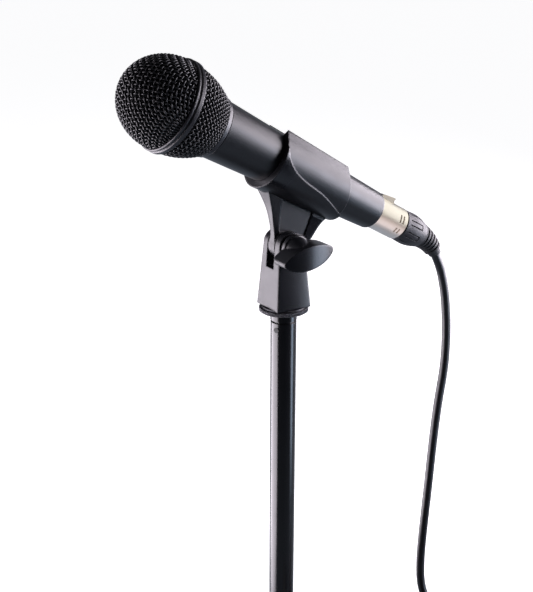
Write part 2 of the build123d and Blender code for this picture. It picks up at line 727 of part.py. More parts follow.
def end_pins():
    return Compound([END * pin for pin in pin_group(END_MOUTH - 24, END_MOUTH - 2.5)])


def end_cable():
    return END * rod(CABLE_R, 0, END_SHELL + 2)


NODES = {
    "base_plate": base_plate, "base_foot_pad": base_foot_pad, "base_bolt": base_bolt,
    "base_washer": base_washer, "tube_plug": tube_plug, "stand_tube": stand_tube,
    "stud_pin": lambda: stud_pin_body(1.5), "thread_stud": thread_stud, "lock_ring": lock_ring,
    "holder_post": holder_post, "thread_adapter": thread_adapter, "hinge_bolt": hinge_bolt,
    "friction_washers": friction_washers, "wing_knob": wing_knob, "knob_insert": knob_insert,
    "clip_cradle": clip_cradle,
    "grille_front": grille_front, "grille_band": grille_band, "grille_rear": grille_rear,
    "grille_collar": grille_collar, "foam_liner": foam_liner,
    "capsule_cap": capsule_cap, "diaphragm": diaphragm, "voice_coil": voice_coil,
    "pole_piece": pole_piece, "magnet": magnet, "magnet_cup": magnet_cup,
    "capsule_shell": capsule_shell, "shock_mount": shock_mount, "capsule_leads": capsule_leads,
    "handle": handle, "socket_insert": socket_insert, "socket_pins": socket_pins,
    "socket_screw": socket_screw,
    "plug_shell": plug_shell, "plug_latch": plug_latch, "plug_insert": plug_insert,
    "plug_contacts": plug_contacts, "plug_chuck": plug_chuck, "plug_boot": plug_boot,
    "plug_bushing": plug_bushing, "cable_end": cable_end,
    "cable_drop": lambda: lead_tube("cable_drop", DROP_ROUTE),
    "cable_coil": cable_coil, "coil_tie": coil_tie,
    "cable_tail": lambda: lead_tube("cable_tail", TAIL_ROUTE),
    "end_cable": end_cable, "end_bushing": end_bushing, "end_boot": end_boot,
    "end_shell": end_shell, "end_insert": end_insert, "end_pins": end_pins,
}

os.makedirs("parts", exist_ok=True)
for node_name, make in NODES.items():
    save(node_name, make())
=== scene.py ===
"""Looks of a dynamic microphone in a clip on a table stand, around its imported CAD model."""
import json
import math
import random

import bpy
from mathutils import Matrix, Vector


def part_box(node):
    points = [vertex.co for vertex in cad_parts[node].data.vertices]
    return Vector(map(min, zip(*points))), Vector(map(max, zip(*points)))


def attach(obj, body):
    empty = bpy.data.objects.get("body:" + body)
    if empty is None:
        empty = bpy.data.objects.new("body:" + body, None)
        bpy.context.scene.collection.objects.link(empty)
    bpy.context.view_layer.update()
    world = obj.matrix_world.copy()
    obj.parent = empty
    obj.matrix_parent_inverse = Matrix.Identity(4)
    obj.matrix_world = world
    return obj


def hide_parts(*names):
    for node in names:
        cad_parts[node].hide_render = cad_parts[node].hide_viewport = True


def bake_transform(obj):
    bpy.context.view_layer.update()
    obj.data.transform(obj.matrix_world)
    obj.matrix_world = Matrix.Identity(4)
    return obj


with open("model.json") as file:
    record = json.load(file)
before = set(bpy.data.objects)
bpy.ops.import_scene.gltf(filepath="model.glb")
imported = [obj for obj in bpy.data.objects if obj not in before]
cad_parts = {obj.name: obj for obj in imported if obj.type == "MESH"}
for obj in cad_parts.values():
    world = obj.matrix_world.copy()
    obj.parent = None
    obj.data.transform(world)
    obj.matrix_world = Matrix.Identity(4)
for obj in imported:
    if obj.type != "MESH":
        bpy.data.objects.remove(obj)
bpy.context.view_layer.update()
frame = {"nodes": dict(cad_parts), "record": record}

# ---------------------------------------------------------------- places and sizes, in metres

# The microphone's axis passes AXIS_HEIGHT above the hinge bolt and leans down to its tail by TILT.
HOLDER_Z = 0.250
TILT = math.radians(28.85)
AXIS_HEIGHT = 0.0698
MIC_AXIS = Vector((math.cos(TILT), 0, -math.sin(TILT)))
MIC_UP = Vector((math.sin(TILT), 0, math.cos(TILT)))
MIC_SIDE = Vector((0, -1, 0))
MIC_FOOT = Vector((0, 0, HOLDER_Z)) + AXIS_HEIGHT * MIC_UP

# Stations of the grille along that axis, from MIC_FOOT, and its radii.
HEAD_TIP = -0.1454
BAND_FRONT = -0.1182
BAND_REAR = -0.1134
BULGE_AT = -0.1026
CONE_REAR = -0.0918
BALL_R = 0.0246
BULGE_R = 0.0226
CONE_REAR_R = 0.0174
BAND_INSET = 0.0002
WIRE_R = 0.00046
WEAVE_PITCH = 0.00225
WEAVE_TURN = math.radians(18)
REAR_WIRES = 48

CABLE_D = 0.0055
COIL_CENTRE = Vector((0.100, -0.054))
COIL_RADII = (0.03875, 0.0330, 0.02725)
COIL_LAYERS = 4
COIL_HEIGHT = 0.022
COIL_WIDTH = 0.017
COIL_START = math.radians(30)
COIL_TURN = math.radians(11 * 360 + 120)
COIL_POINTS_PER_TURN = 16
COIL_STEP_SHARE = 0.25

# The lead's route, from the plug on the microphone down to the coil.
DROP_ROUTE = [
    (0.1089, 0.0, 0.2635), (0.1128, 0.0, 0.2565), (0.1159, 0.0, 0.2480), (0.1193, 0.0, 0.2340),
    (0.1220, 0.0, 0.2110), (0.1218, 0.0, 0.1860), (0.1180, 0.0, 0.1630), (0.1154, 0.0, 0.1350),
    (0.1134, 0.0, 0.1040), (0.1112, 0.0, 0.0750), (0.1099, 0.0, 0.0505), (0.1106, -0.0009, 0.0312),
    (0.1140, -0.0054, 0.0180), (0.1199, -0.0134, 0.0078), (0.1262, -0.0222, 0.00275),
]
# Off the coil's top turn and down to the second plug.
TAIL_ROUTE = [
    (0.0980, -0.0928, 0.01925), (0.0860, -0.0932, 0.0186), (0.0720, -0.0952, 0.0136),
    (0.0585, -0.0974, 0.0102), (0.0460, -0.0980, 0.0098),
]


def on_mic(station, radius, angle):
    """Point at a station along the microphone's axis, at a radius and an angle from the top."""
    out = MIC_UP * math.cos(angle) + MIC_SIDE * math.sin(angle)
    return MIC_FOOT + MIC_AXIS * station + out * radius


# ---------------------------------------------------------------- shader node helpers

def connect(tree, value, socket):
    """Links an output to an input socket, or gives the input a plain value."""
    if isinstance(value, bpy.types.NodeSocket):
        tree.links.new(value, socket)
    else:
        socket.default_value = value


def calculate(tree, kind, operation, *values):
    """Outputs of a ShaderNodeMath or ShaderNodeVectorMath node on sockets or plain values."""
    node = tree.nodes.new(kind)
    node.operation = operation
    for value, socket in zip(values, node.inputs):
        connect(tree, value, socket)
    return node.outputs


def product(tree, first, second):
    return calculate(tree, "ShaderNodeMath", "MULTIPLY", first, second)[0]


def component(tree, vector, axis):
    parts = tree.nodes.new("ShaderNodeSeparateXYZ")
    tree.links.new(vector, parts.inputs[0])
    return parts.outputs[axis]


def size_of_y(tree, vector):
    return calculate(tree, "ShaderNodeMath", "ABSOLUTE", component(tree, vector, "Y"))[0]


def smooth_step(tree, value, low, high):
    """0 at low and 1 at high, easing at both ends."""
    node = tree.nodes.new("ShaderNodeMapRange")
    node.interpolation_type = "SMOOTHSTEP"
    node.inputs["From Min"].default_value = low
    node.inputs["From Max"].default_value = high
    tree.links.new(value, node.inputs["Value"])
    return node.outputs["Result"]


def spread_value(tree, value, low, high, start=0.3, end=0.7):
    """Maps a pattern's values between start and end to low and high."""
    node = tree.nodes.new("ShaderNodeMapRange")
    node.inputs["From Min"].default_value = start
    node.inputs["From Max"].default_value = end
    node.inputs["To Min"].default_value = low
    node.inputs["To Max"].default_value = high
    tree.links.new(value, node.inputs["Value"])
    return node.outputs["Result"]


def mix_colours(tree, share, first, second):
    """Blend of two colours, each a socket or three numbers."""
    node = tree.nodes.new("ShaderNodeMix")
    node.data_type = "RGBA"
    tree.links.new(share, node.inputs["Factor"])
    for socket, colour in ((node.inputs[6], first), (node.inputs[7], second)):
        connect(tree, colour if isinstance(colour, bpy.types.NodeSocket) else (*colour, 1), socket)
    return node.outputs[2]


# ---------------------------------------------------------------- camera, light and floor

SUBJECT = Vector((0.02, 0, 0.31))
CAMERA_AT = Vector((-0.3223, -0.5012, 0.4544))
CAMERA_HEADING = 31.81
CAMERA_PITCH = 17.70
CAMERA_ROLL = 0.19
CAMERA_LENS = 67.96
CAMERA_SHIFT = -0.027

# Colours of the surroundings as the object reflects them.
AIR_BELOW = (0.022, 0.025, 0.032)
AIR_ABOVE = (0.12, 0.12, 0.135)
BACKDROP = (0.46, 0.48, 0.54)
GROUND = (0.34, 0.39, 0.48)

# Colours of the surroundings and the floor as the camera sees them.
WHITE = (1, 1, 1, 1)
FLOOR_PAINT = (0.60, 0.60, 0.61, 1)
FLOOR_GLOW = 0.90

# Colours of the lamps.
PALE_PINK = (0.98, 0.91, 1.0)
PALE_BLUE = (0.62, 0.78, 1.0)


def make_camera():
    data = bpy.data.cameras.new("camera")
    data.sensor_width = 36
    data.lens = CAMERA_LENS
    data.shift_y = CAMERA_SHIFT
    data.clip_start = 0.01
    camera = bpy.data.objects.new("camera", data)
    bpy.context.scene.collection.objects.link(camera)
    turn = Matrix.Rotation(math.radians(-CAMERA_HEADING), 4, "Z")
    tip = Matrix.Rotation(math.radians(90 - CAMERA_PITCH), 4, "X")
    roll = Matrix.Rotation(math.radians(CAMERA_ROLL), 4, "Z")
    camera.matrix_world = Matrix.Translation(CAMERA_AT) @ turn @ tip @ roll
    bpy.context.scene.camera = camera


def toward(azimuth, elevation):
    """Direction from the object: azimuth 0 is towards the camera, positive to its right."""
    a = math.radians(180 + CAMERA_HEADING - azimuth)
    e = math.radians(elevation)
    return Vector((math.sin(a) * math.cos(e), math.cos(a) * math.cos(e), math.sin(e)))


def softbox(name, azimuth, elevation, distance, size, power, colour):
    """Rectangular lamp that faces the object from a distance, and doesn't show in the picture."""
    light = bpy.data.lights.new(name, "AREA")
    light.shape = "RECTANGLE"
    light.size, light.size_y = size
    light.energy = power
    light.color = colour
    lamp = bpy.data.objects.new(name, light)
    bpy.context.scene.collection.objects.link(lamp)
    away = toward(azimuth, elevation)
    lamp.location = SUBJECT + away * distance
    lamp.rotation_mode = "QUATERNION"
    lamp.rotation_quaternion = away.to_track_quat("Z", "Y")
    lamp.visible_camera = False
    return lamp


def make_world():
    """Pale studio: bright behind the object, dim on the photographer's side and below."""
    world = bpy.data.worlds.new("studio")
    bpy.context.scene.world = world
    world.use_nodes = True
    tree = world.node_tree
    tree.nodes.clear()
    direction = tree.nodes.new("ShaderNodeTexCoord").outputs["Generated"]
    height = component(tree, direction, "Z")
    facing = calculate(tree, "ShaderNodeVectorMath", "DOT_PRODUCT", direction, toward(180, 0))
    behind = smooth_step(tree, facing["Value"], 0.1, 0.9)
    low = smooth_step(tree, height, 0.40, -0.05)
    air = mix_colours(tree, smooth_step(tree, height, -0.1, 0.9), AIR_BELOW, AIR_ABOVE)
    walls = mix_colours(tree, product(tree, behind, low), air, BACKDROP)
    ground = mix_colours(tree, smooth_step(tree, height, -0.30, -0.85), walls, GROUND)
    reflected = tree.nodes.new("ShaderNodeBackground")
    tree.links.new(ground, reflected.inputs["Color"])
    seen = tree.nodes.new("ShaderNodeBackground")
    seen.inputs["Color"].default_value = WHITE
    seen.inputs["Strength"].default_value = 1.0
    path = tree.nodes.new("ShaderNodeLightPath")
    mix = tree.nodes.new("ShaderNodeMixShader")
    tree.links.new(path.outputs["Is Camera Ray"], mix.inputs["Fac"])
    tree.links.new(reflected.outputs[0], mix.inputs[1])
    tree.links.new(seen.outputs[0], mix.inputs[2])
    out = tree.nodes.new("ShaderNodeOutputWorld")
    tree.links.new(mix.outputs[0], out.inputs["Surface"])


def make_floor():
    """White table top, which only the camera sees."""
    bpy.ops.mesh.primitive_plane_add(size=60, location=(0, 0, 0))
    floor = bpy.context.object
    floor.name = "floor"
    paint = bpy.data.materials.new("floor_paint")
    paint.use_nodes = True
    shader = paint.node_tree.nodes["Principled BSDF"]
    shader.inputs["Base Color"].default_value = FLOOR_PAINT
    shader.inputs["Roughness"].default_value = 0.9
    shader.inputs["Emission Color"].default_value = WHITE
    shader.inputs["Emission Strength"].default_value = FLOOR_GLOW
    floor.data.materials.append(paint)
    floor.visible_glossy = False
    floor.visible_diffuse = False


def light_only(lamps, receivers, name, state):
    """Restricts lamps to the receivers, or keeps them off the receivers."""
    group = bpy.data.collections.new(name)
    for node in receivers:
        group.objects.link(node)
    for entry in group.collection_objects:
        entry.light_linking.link_state = state
    for lamp in lamps:
        lamp.light_linking.receiver_collection = group


BARE_METAL = ("plug_shell", "plug_latch", "end_shell", "stud_pin")


def make_lights():
    """Large softboxes left and right for the black parts, and dimmer ones for the bare metal.

    Each row is a name, azimuth, elevation, distance, size, power and colour.
    """
    large = [
        softbox("right_softbox", 106, 5, 0.95, (1.16, 0.72), 29, PALE_PINK),
        softbox("left_softbox", -90, -18, 1.05, (1.4, 1.05), 39, PALE_PINK),
        softbox("blue_fill", 84, -12, 1.0, (0.36, 0.8), 4.5, PALE_BLUE),
    ]
    small = [
        softbox("metal_right", 105, 10, 0.95, (1.4, 1.1), 5.6, (1.0, 0.99, 0.93)),
        softbox("metal_left", -85, 0, 1.05, (1.3, 1.2), 4.4, (1.0, 0.95, 0.92)),
        softbox("metal_low", 20, -50, 0.27, (0.6, 0.3), 0.38, (1.0, 0.80, 0.74)),
    ]
    bare = [frame["nodes"][name] for name in BARE_METAL]
    light_only(large, bare, "no_softbox", "EXCLUDE")
    light_only(small, bare, "bare_metal", "INCLUDE")


# ---------------------------------------------------------------- material helpers

# Noise scales, per metre.
BLOTCHES = 60
SMUDGES = 140
CHIPS = 900
METAL_DRIFT = 90
METAL_SMUDGES = 160


def new_material(name, colour, roughness, metallic=0.0, **sockets):
    """Principled material; sockets are plain numbers or colours for its other inputs."""
    paint = bpy.data.materials.new(name)
    paint.use_nodes = True
    shader = paint.node_tree.nodes["Principled BSDF"]
    shader.inputs["Base Color"].default_value = (*colour, 1)
    shader.inputs["Roughness"].default_value = roughness
    shader.inputs["Metallic"].default_value = metallic
    for socket, value in sockets.items():
        shader.inputs[socket.replace("_", " ")].default_value = value
    return paint


def place_of(tree, stretch=(1, 1, 1)):
    """Object coordinates in metres, stretched."""
    coords = tree.nodes.new("ShaderNodeTexCoord")
    mapping = tree.nodes.new("ShaderNodeMapping")
    mapping.inputs["Scale"].default_value = stretch
    tree.links.new(coords.outputs["Object"], mapping.inputs["Vector"])
    return mapping.outputs["Vector"]


def noise(tree, scale, detail=3.0, rough=0.55, stretch=(1, 1, 1)):
    node = tree.nodes.new("ShaderNodeTexNoise")
    node.inputs["Scale"].default_value = scale
    node.inputs["Detail"].default_value = detail
    node.inputs["Roughness"].default_value = rough
    tree.links.new(place_of(tree, stretch), node.inputs["Vector"])
    return node.outputs["Fac"]


def edge_normal(tree, radius):
    """Normal that rounds sharp edges, and how close to an edge a point is, from 0 to 1."""
    rounded = tree.nodes.new("ShaderNodeBevel")
    rounded.samples = 4
    rounded.inputs["Radius"].default_value = radius
    normal = rounded.outputs["Normal"]
    flat = tree.nodes.new("ShaderNodeNewGeometry").outputs["Normal"]
    match = calculate(tree, "ShaderNodeVectorMath", "DOT_PRODUCT", normal, flat)
    return normal, spread_value(tree, match["Value"], 1.0, 0.0, 0.80, 0.995)


def finish_material(paint, colours, roughness, grain, edge=0.0003, wear=None, stretch=(1, 1, 1)):
    """Adds colour variation, uneven roughness, rounded edges and a fine grain to a material.

    colours and roughness are the two ends of each variation, and grain is (scale per metre,
    height in metres, strength). wear is the colour that shows where an edge has rubbed through.
    """
    tree = paint.node_tree
    shader = tree.nodes["Principled BSDF"]
    blotch = spread_value(tree, noise(tree, BLOTCHES, 5.0, 0.6, stretch), 0, 1)
    colour = mix_colours(tree, blotch, *colours)
    rounded, near = edge_normal(tree, edge)
    if wear is not None:
        broken = spread_value(tree, noise(tree, CHIPS, 4.0, 0.7), 0.0, 1.0, 0.45, 0.62)
        colour = mix_colours(tree, product(tree, near, broken), colour, wear)
    tree.links.new(colour, shader.inputs["Base Color"])
    smudge = spread_value(tree, noise(tree, SMUDGES, 4.0, 0.65, stretch), *roughness)
    tree.links.new(smudge, shader.inputs["Roughness"])
    scale, height, strength = grain
    bump = tree.nodes.new("ShaderNodeBump")
    bump.inputs["Distance"].default_value = height
    bump.inputs["Strength"].default_value = strength
    tree.links.new(noise(tree, scale, 3.0, 0.6, stretch), bump.inputs["Height"])
    tree.links.new(rounded, bump.inputs["Normal"])
    tree.links.new(bump.outputs["Normal"], shader.inputs["Normal"])
    return paint


def metal(name, first, second, roughness, edge=0.0003):
    """Bare metal: its tone and roughness drift slightly, and its edges are rounded."""
    paint = new_material(name, first, roughness[0], 1.0)
    tree = paint.node_tree
    shader = tree.nodes["Principled BSDF"]
    drift = spread_value(tree, noise(tree, METAL_DRIFT, 3.0, 0.5), 0, 1)
    tree.links.new(mix_colours(tree, drift, first, second), shader.inputs["Base Color"])
    smudge = spread_value(tree, noise(tree, METAL_SMUDGES, 3.0, 0.5), *roughness)
    tree.links.new(smudge, shader.inputs["Roughness"])
    tree.links.new(edge_normal(tree, edge)[0], shader.inputs["Normal"])
    return paint


def crowned(paint, reach, lean):
    """The same material on a face that bulges slightly: it leans by lean at reach from x = 0."""
    copy = paint.copy()
    tree = copy.node_tree
    shader = tree.nodes["Principled BSDF"]
    x = component(tree, place_of(tree), "X")
    bulge = tree.nodes.new("ShaderNodeBump")
    bulge.inputs["Distance"].default_value = 1.0
    slope = -math.tan(math.radians(lean)) / (2 * reach)
    tree.links.new(product(tree, product(tree, x, x), slope), bulge.inputs["Height"])
    tree.links.new(shader.inputs["Normal"].links[0].from_socket, bulge.inputs["Normal"])
    tree.links.new(bulge.outputs["Normal"], shader.inputs["Normal"])
    return copy


# Where the saddle ends, from the microphone's axis, and where the stem's web ends, sideways.
SADDLE_END = (0.0178, 0.0186)
WEB_END = (0.0015, 0.0018)
LOOKS_SIDEWAYS = (0.5, 0.8)


def stem_ribs(tree):
    """1 on the flared ribs of the clip's stem, and 0 on the web between them and on the saddle."""
    place = place_of(tree)
    offset = calculate(tree, "ShaderNodeVectorMath", "SUBTRACT", place, MIC_FOOT)["Vector"]
    across = calculate(tree, "ShaderNodeVectorMath", "CROSS_PRODUCT", offset, MIC_AXIS)["Vector"]
    reach = calculate(tree, "ShaderNodeVectorMath", "LENGTH", across)["Value"]
    below = smooth_step(tree, reach, *SADDLE_END)
    return product(tree, below, smooth_step(tree, size_of_y(tree, place), *WEB_END))


def polished(paint, roughness, where=None):
    """The same material, smoother on the faces that look sideways, and only where asked."""
    copy = paint.copy()
    tree = copy.node_tree
    shader = tree.nodes["Principled BSDF"]
    normal = tree.nodes.new("ShaderNodeTexCoord").outputs["Normal"]
    mask = smooth_step(tree, size_of_y(tree, normal), *LOOKS_SIDEWAYS)
    if where is not None:
        mask = product(tree, mask, where(tree))
    blend = tree.nodes.new("ShaderNodeMix")
    tree.links.new(mask, blend.inputs["Factor"])
    tree.links.new(shader.inputs["Roughness"].links[0].from_socket, blend.inputs["A"])
    blend.inputs["B"].default_value = roughness
    tree.links.new(blend.outputs["Result"], shader.inputs["Roughness"])
    return copy


# ---------------------------------------------------------------- materials, one for each slot

def handle_paint():
    paint = new_material("handle_paint", (0.006, 0.0065, 0.008), 0.36, Specular_IOR_Level=0.45)
    return finish_material(paint, ((0.005, 0.0055, 0.007), (0.008, 0.0085, 0.0105)), (0.33, 0.39),
                           (1700, 0.00004, 0.3), wear=(0.04, 0.04, 0.045))


def black_nylon():
    paint = new_material("black_nylon", (0.006, 0.0065, 0.008), 0.36, Specular_IOR_Level=0.39)
    return finish_material(paint, ((0.005, 0.0055, 0.007), (0.009, 0.0095, 0.012)), (0.32, 0.39),
                           (2600, 0.00004, 0.3), edge=0.0011, wear=(0.07, 0.07, 0.075))


def black_tube():
    paint = new_material("black_tube", (0.004, 0.004, 0.005), 0.24, Specular_IOR_Level=0.45,
                         Coat_Weight=0.25, Coat_Roughness=0.2)
    return finish_material(paint, ((0.003, 0.003, 0.004), (0.006, 0.006, 0.007)), (0.20, 0.27),
                           (700, 0.00003, 0.2), stretch=(1, 1, 0.35))


def black_metal():
    paint = new_material("black_metal", (0.03, 0.03, 0.034), 0.34, 0.6)
    return finish_material(paint, ((0.022, 0.022, 0.026), (0.04, 0.04, 0.045)), (0.28, 0.42),
                           (2000, 0.00003, 0.3), wear=(0.25, 0.25, 0.26))


def cast_black():
    paint = new_material("cast_black", (0.016, 0.016, 0.018), 0.55)
    return finish_material(paint, ((0.013, 0.013, 0.015), (0.022, 0.022, 0.024)), (0.46, 0.6),
                           (1300, 0.00018, 0.8), edge=0.0006)


def rubber():
    paint = new_material("rubber", (0.014, 0.014, 0.016), 0.6)
    return finish_material(paint, ((0.010, 0.010, 0.012), (0.020, 0.020, 0.022)), (0.5, 0.66),
                           (1800, 0.00005, 0.4))


def zinc_steel():
    return metal("zinc_steel", (0.22, 0.22, 0.25), (0.30, 0.30, 0.32), (0.38, 0.46))


def brass():
    return metal("brass", (0.66, 0.46, 0.20), (0.78, 0.58, 0.28), (0.24, 0.32))


def gold_pin():
    return metal("gold_pin", (0.82, 0.58, 0.22), (0.90, 0.68, 0.32), (0.18, 0.24), edge=0.0002)


def copper():
    return metal("copper", (0.56, 0.22, 0.10), (0.68, 0.32, 0.15), (0.28, 0.36), edge=0.0001)


def nickel():
    return metal("nickel", (0.88, 0.82, 0.74), (0.93, 0.87, 0.80), (0.36, 0.42), edge=0.00035)


def aluminium():
    return metal("aluminium", (0.66, 0.67, 0.70), (0.76, 0.76, 0.77), (0.30, 0.40))


def magnet():
    return metal("magnet", (0.32, 0.32, 0.34), (0.42, 0.42, 0.43), (0.26, 0.34))


def nylon_washer():
    paint = new_material("nylon_washer", (0.62, 0.61, 0.57), 0.45, Subsurface_Weight=0.1)
    return finish_material(paint, ((0.58, 0.57, 0.53), (0.68, 0.67, 0.63)), (0.4, 0.5),
                           (1800, 0.00003, 0.3))


def grille_metal():
    paint = new_material("grille_metal", (0.010, 0.0095, 0.012), 0.36, Specular_IOR_Level=0.60)
    return finish_material(paint, ((0.008, 0.0075, 0.010), (0.014, 0.013, 0.017)), (0.33, 0.40),
                           (1600, 0.00003, 0.25), edge=0.0006)


def grille_wire():
    paint = new_material("grille_wire", (0.006, 0.006, 0.007), 0.36, Specular_IOR_Level=0.42)
    tree = paint.node_tree
    shader = tree.nodes["Principled BSDF"]
    patch = spread_value(tree, noise(tree, 400, 3.0), 0, 1)
    colour = mix_colours(tree, patch, (0.004, 0.004, 0.005), (0.009, 0.009, 0.0105))
    tree.links.new(colour, shader.inputs["Base Color"])
    smudge = spread_value(tree, noise(tree, 1500, 3.0), 0.32, 0.42)
    tree.links.new(smudge, shader.inputs["Roughness"])
    return paint


def foam():
    paint = new_material("foam", (0.006, 0.006, 0.007), 0.95)
    tree = paint.node_tree
    shader = tree.nodes["Principled BSDF"]
    cells = tree.nodes.new("ShaderNodeTexVoronoi")
    cells.inputs["Scale"].default_value = 1400
    tree.links.new(place_of(tree), cells.inputs["Vector"])
    # Painted shade: the foam's colour is darker in the pits of its cells than on their rims.
    painted_pit_shade = spread_value(tree, cells.outputs["Distance"], 0, 1, 0.1, 0.6)
    tree.links.new(mix_colours(tree, painted_pit_shade, (0.003, 0.003, 0.004), (0.012, 0.012, 0.013)),
                   shader.inputs["Base Color"])
    bump = tree.nodes.new("ShaderNodeBump")
    bump.inputs["Distance"].default_value = 0.0003
    tree.links.new(cells.outputs["Distance"], bump.inputs["Height"])
    tree.links.new(bump.outputs["Normal"], shader.inputs["Normal"])
    return paint


def clear_film():
    paint = new_material("clear_film", (0.75, 0.75, 0.78), 0.2, Coat_Weight=0.4)
    return finish_material(paint, ((0.70, 0.70, 0.74), (0.80, 0.80, 0.82)), (0.16, 0.26),
                           (1500, 0.00002, 0.3))


def insert_plastic():
    paint = new_material("insert_plastic", (0.012, 0.012, 0.013), 0.42)
    return finish_material(paint, ((0.010, 0.010, 0.011), (0.017, 0.017, 0.018)), (0.36, 0.48),
                           (2200, 0.00004, 0.4))


def boot_plastic():
    paint = new_material("boot_plastic", (0.009, 0.0085, 0.011), 0.52, Specular_IOR_Level=0.62)
    return finish_material(paint, ((0.007, 0.0065, 0.009), (0.012, 0.011, 0.014)), (0.48, 0.56),
                           (2600, 0.00005, 0.3), edge=0.0003)


def cable_jacket():
    paint = new_material("cable_jacket", (0.006, 0.0065, 0.008), 0.34)
    return finish_material(paint, ((0.005, 0.0055, 0.007), (0.009, 0.0095, 0.0115)), (0.30, 0.42),
                           (900, 0.00005, 0.3))


def tie_fabric():
    paint = new_material("tie_fabric", (0.014, 0.014, 0.016), 0.85, Sheen_Weight=0.3)
    return finish_material(paint, ((0.009, 0.009, 0.010), (0.022, 0.022, 0.024)), (0.75, 0.95),
                           (1500, 0.0003, 0.9))


MATERIAL_MAKERS = (
    handle_paint, black_nylon, black_tube, black_metal, cast_black, rubber, zinc_steel, brass,
    gold_pin, copper, nickel, aluminium, magnet, nylon_washer, grille_metal, grille_wire, foam,
    clear_film, insert_plastic, boot_plastic, cable_jacket, tie_fabric,
)
MATERIALS = {make.__name__: make() for make in MATERIAL_MAKERS}

# What crowned and polished need for the nodes whose faces bulge or are smoother.
CROWNS = {"holder_post": (0.011, 6), "wing_knob": (0.016, 18)}
POLISHED = {"holder_post": (0.25,), "wing_knob": (0.24,), "clip_cradle": (0.13, stem_ribs)}


def dress_cad_nodes():
    """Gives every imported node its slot's material."""
    for part in frame["record"]["subparts"]:
        node = frame["nodes"][part["node"]]
        paint = MATERIALS[part["material_slot"]]
        if part["node"] in CROWNS:
            paint = crowned(paint, *CROWNS[part["node"]])
        if part["node"] in POLISHED:
            paint = polished(paint, *POLISHED[part["node"]])
        node.data.materials.clear()
        node.data.materials.append(paint)


# ---------------------------------------------------------------- mesh helpers

def mesh_object(name, vertices, faces, slot, smooth=True):
    mesh = bpy.data.meshes.new(name)
    mesh.from_pydata([tuple(v) for v in vertices], [], faces)
    mesh.validate()
    for polygon in mesh.polygons:
        polygon.use_smooth = smooth
    mesh.materials.append(MATERIALS[slot])
    piece = bpy.data.objects.new(name, mesh)
    bpy.context.scene.collection.objects.link(piece)
    return piece


def ring_frames(points):
    """Two directions across a line at each of its points, without twist."""
    tangents = []
    for index in range(len(points)):
        before = points[max(index - 1, 0)]
        after = points[min(index + 1, len(points) - 1)]
        tangents.append((after - before).normalized())
    side = tangents[0].orthogonal().normalized()
    frames = []
    for tangent in tangents:
        side = (side - tangent * side.dot(tangent)).normalized()
        frames.append((side, tangent.cross(side)))
    return frames


def add_tube(vertices, faces, points, radius, sides, frames=None):
    """Appends a closed round tube along the points to the lists."""
    frames = frames or ring_frames(points)
    first = len(vertices)
    for point, (side, up) in zip(points, frames):
        for corner in range(sides):
            angle = 2 * math.pi * corner / sides
            vertices.append(point + (side * math.cos(angle) + up * math.sin(angle)) * radius)
    for ring in range(len(points) - 1):
        low = first + ring * sides
        for corner in range(sides):
            after = (corner + 1) % sides
            faces.append((low + corner, low + after, low + sides + after, low + sides + corner))
    for ring in (0, len(points) - 1):
        # The end caps have corners of their own, so the side keeps its shading up to the end.
        cap = len(vertices)
        vertices.extend(vertices[first + ring * sides:first + (ring + 1) * sides])
        corners = range(cap, cap + sides)
        faces.append(tuple(corners if ring else reversed(corners)))


def nurbs_line(points, detail):
    """Points along the smooth NURBS line that has the given control points."""
    curve = bpy.data.curves.new("route", "CURVE")
    curve.dimensions = "3D"
    spline = curve.splines.new("NURBS")
    spline.points.add(len(points) - 1)
    for control, point in zip(spline.points, points):
        control.co = (*point, 1)
    spline.order_u = 3
    spline.use_endpoint_u = True
    spline.resolution_u = detail
    holder = bpy.data.objects.new("route", curve)
    mesh = bpy.data.meshes.new_from_object(holder)
    line = [vertex.co.copy() for vertex in mesh.vertices]
    bpy.data.meshes.remove(mesh)
    bpy.data.objects.remove(holder)
    bpy.data.curves.remove(curve)
    return line


# ---------------------------------------------------------------- the lead

LEAD_SIDES = 16
LEAD_DETAIL = 10
LEAD_CUTS = (0.2310, 0.1970, 0.1000)
HANGS_ABOVE = 0.030

# Radius and height of each of the coil's turns.
TURN_PLACES = []
for layer in range(COIL_LAYERS):
    order = COIL_RADII if layer % 2 == 0 else COIL_RADII[::-1]
    for turn_radius in order:
        TURN_PLACES.append((turn_radius, CABLE_D * (layer + 0.5)))


def ease(share):
    share = min(max(share, 0.0), 1.0)
    return share * share * (3 - 2 * share)


def coil_points():
    """Control points of the coil's turns, layer on layer, from its foot to its top.

    Each turn lies flat on its place and climbs to the next one over its last part.
    """
    count = round(COIL_POINTS_PER_TURN * COIL_TURN / (2 * math.pi))
    swell = 2 / (1 + math.cos(math.pi / COIL_POINTS_PER_TURN))
    points = []
    for index in range(count + 1):
        share = index / count
        place = share * (len(TURN_PLACES) - 1)
        turn = min(int(place), len(TURN_PLACES) - 2)
        step = ease((place - turn - (1 - COIL_STEP_SHARE)) / COIL_STEP_SHARE)
        (r0, z0), (r1, z1) = TURN_PLACES[turn:turn + 2]
        radius = (r0 + (r1 - r0) * step) * swell
        angle = COIL_START - COIL_TURN * share
        points.append((COIL_CENTRE.x + radius * math.cos(angle),
                       COIL_CENTRE.y + radius * math.sin(angle), z0 + (z1 - z0) * step))
    return points


